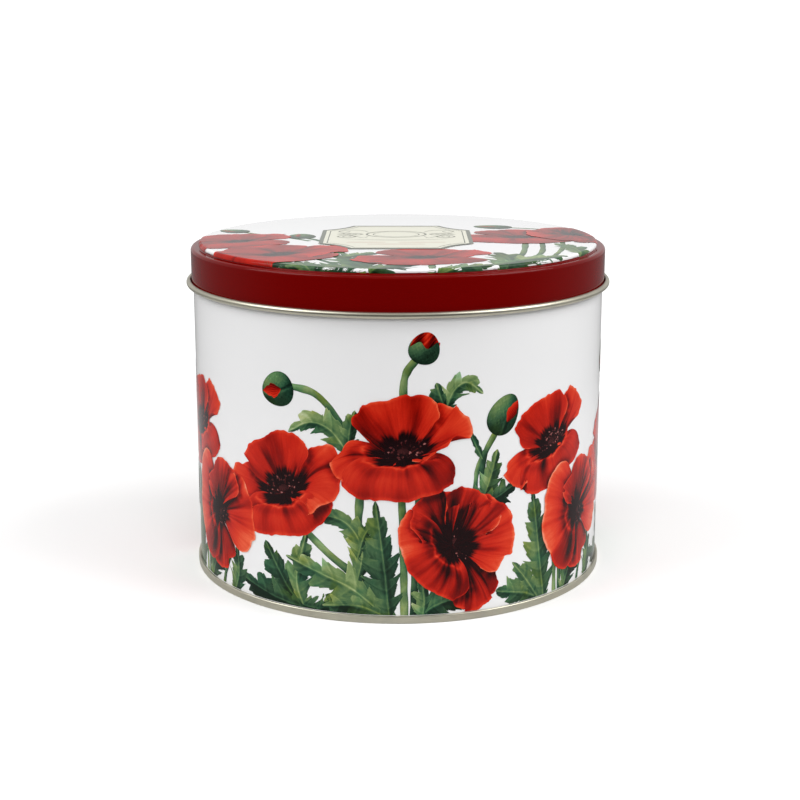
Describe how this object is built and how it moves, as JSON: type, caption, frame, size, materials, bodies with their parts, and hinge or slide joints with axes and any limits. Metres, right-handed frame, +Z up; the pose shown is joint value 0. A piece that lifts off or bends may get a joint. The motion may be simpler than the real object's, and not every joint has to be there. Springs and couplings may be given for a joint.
{
  "type": "round lithographed tin with slip lid",
  "caption": "Round tinplate storage tin with a folded base seam, rolled rim and a slip-on lid that lifts off, printed with a band of poppies.",
  "frame": {"origin": "centre of the ring the tin stands on, at the bottom of the base seam", "axes": "+Z up along the tin's axis; -Y is the printed front and the folded side seam is at +Y"},
  "size_m": [0.1654, 0.1654, 0.1288],
  "materials": {
    "body_print": "glossy white litho enamel with a varnish coat",
    "lid_print": "glossy deep red litho enamel with a varnish coat",
    "poppy_print": "glossy red litho inks, from orange red to crimson, printed over the white under the varnish",
    "leaf_print": "glossy grey-green litho inks, printed over the white under the varnish",
    "plaque_print": "glossy cream litho ink with a grey-green border, under the varnish",
    "tinplate": "plain bright tinplate, slightly warm, satin"
  },
  "bodies": {
    "tin": {"body_wall": "body_print", "base_end": "tinplate"},
    "lid": {"lid": "lid_print"}
  },
  "joints": [
    {"name": "lid_lift", "type": "slide", "parent": "tin", "child": "lid", "axis": [0, 0, 1], "range_m": [0, 0.13]}
  ]
}
